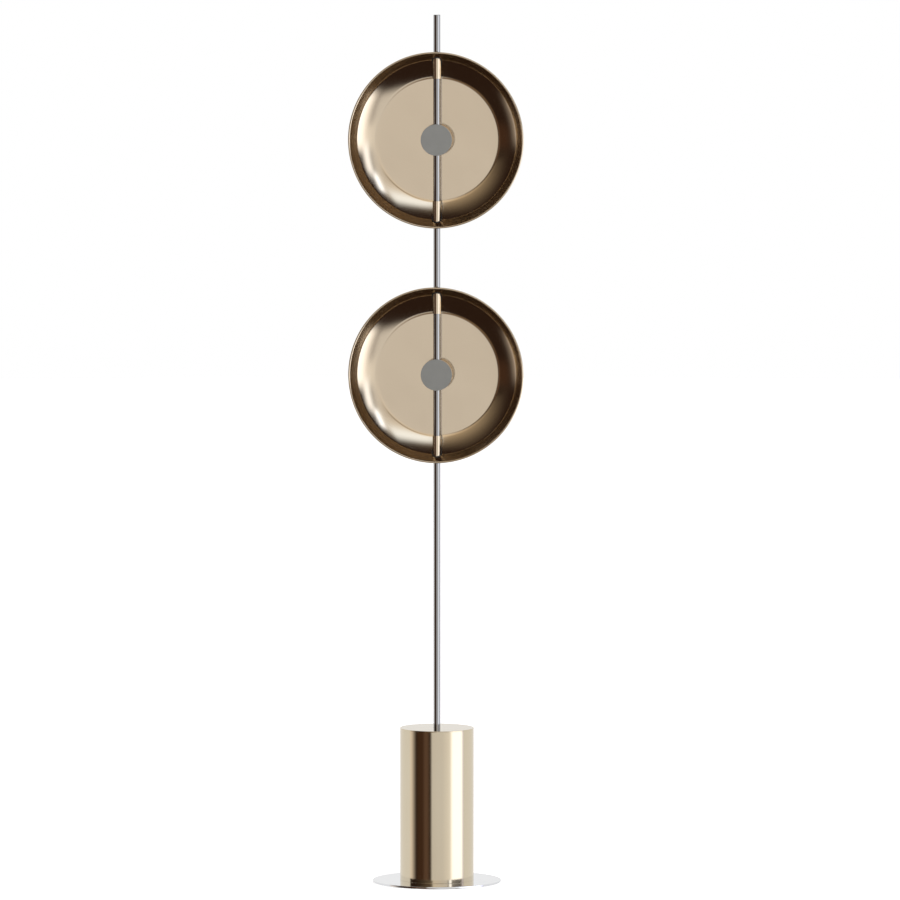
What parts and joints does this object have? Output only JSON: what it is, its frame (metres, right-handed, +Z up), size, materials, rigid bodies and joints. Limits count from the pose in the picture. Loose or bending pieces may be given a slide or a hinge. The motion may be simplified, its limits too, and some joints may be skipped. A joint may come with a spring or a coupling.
{
  "type": "floor lamp",
  "caption": "Slim polished pole on a weighted canister base, with round spun dish reflectors that turn on the pole, each lit by a round puck light in its middle.",
  "frame": {"origin": "centre of the underside of the foot, on the floor, on the pole's axis", "axes": "+Z up along the pole, -Y the way the dishes open, +X to the viewer's right"},
  "size_m": [0.36, 0.263, 1.778],
  "materials": {
    "felt": "dark felt",
    "foot_chrome": "mirror polished",
    "zinc_steel": "zinc plated",
    "weight_iron": "painted cast iron",
    "canister_brass": "polished, lacquered pale brass",
    "black_steel": "blackened",
    "driver_case": "fine matt",
    "terminal_plastic": "matt",
    "bare_brass": "turned",
    "lead_sheath": "satin sheath",
    "black_nylon": "satin nylon",
    "white_nylon": "satin nylon",
    "pole_nickel": "polished nickel",
    "dish_bronze": "spun, anodised champagne bronze, satin polish",
    "hub_alloy": "machined",
    "puck_bronze": "turned, anodised champagne bronze",
    "cover_grey": "flat matt grey paint",
    "board_white": "white solder mask",
    "led_lens": "phosphor lens",
    "opal_diffuser": "opal, satin"
  },
  "bodies": {
    "base": {"foot_pad": "felt", "base_plate": "foot_chrome", "plate_screws": "zinc_steel", "mount_ring": "zinc_steel", "counterweight": "weight_iron", "canister_shell": "canister_brass", "canister_lid": "canister_brass", "pole_socket": "zinc_steel", "socket_grub_screws": "black_steel", "pan_screws": "zinc_steel", "driver_bracket": "zinc_steel", "led_driver": "driver_case", "terminal_block": "terminal_plastic", "earth_stud": "bare_brass", "mains_lead": "lead_sheath", "driver_lead": "lead_sheath", "cable_gland": "black_nylon", "gland_nut": "black_nylon", "pole_lower": "pole_nickel", "pole_middle": "pole_nickel", "pole_upper": "pole_nickel", "pole_joiners": "zinc_steel", "pole_cap": "pole_nickel", "pole_cable": "lead_sheath", "thrust_washers": "white_nylon", "collar_grub_screws": "black_steel", "collar_support_lower": "bare_brass", "collar_stop_lower": "bare_brass", "collar_support_upper": "bare_brass", "collar_stop_upper": "bare_brass"},
    "lower_head": {"lower_dish": "dish_bronze", "lower_wall_bushes": "black_nylon", "lower_hub_block": "hub_alloy", "lower_puck_housing": "puck_bronze", "lower_front_cover": "cover_grey", "lower_cover_pillars": "hub_alloy", "lower_cover_screws": "zinc_steel", "lower_led_board": "board_white", "lower_leds": "led_lens", "lower_diffuser": "opal_diffuser", "lower_dish_post": "bare_brass", "lower_post_screws": "black_steel", "lower_dish_washer": "bare_brass", "lower_dish_nut": "bare_brass", "lower_head_lead": "lead_sheath"},
    "upper_head": {"upper_dish": "dish_bronze", "upper_wall_bushes": "black_nylon", "upper_hub_block": "hub_alloy", "upper_puck_housing": "puck_bronze", "upper_front_cover": "cover_grey", "upper_cover_pillars": "hub_alloy", "upper_cover_screws": "zinc_steel", "upper_led_board": "board_white", "upper_leds": "led_lens", "upper_diffuser": "opal_diffuser", "upper_dish_post": "bare_brass", "upper_post_screws": "black_steel", "upper_dish_washer": "bare_brass", "upper_dish_nut": "bare_brass", "upper_head_lead": "lead_sheath"}
  },
  "joints": [
    {"name": "lower_head_turn", "type": "hinge", "parent": "base", "child": "lower_head", "pos_m": [0, 0, 1.043], "axis": [0, 0, 1], "range_deg": [-165, 165]},
    {"name": "upper_head_turn", "type": "hinge", "parent": "base", "child": "upper_head", "pos_m": [0, 0, 1.523], "axis": [0, 0, 1], "range_deg": [-165, 165]}
  ]
}
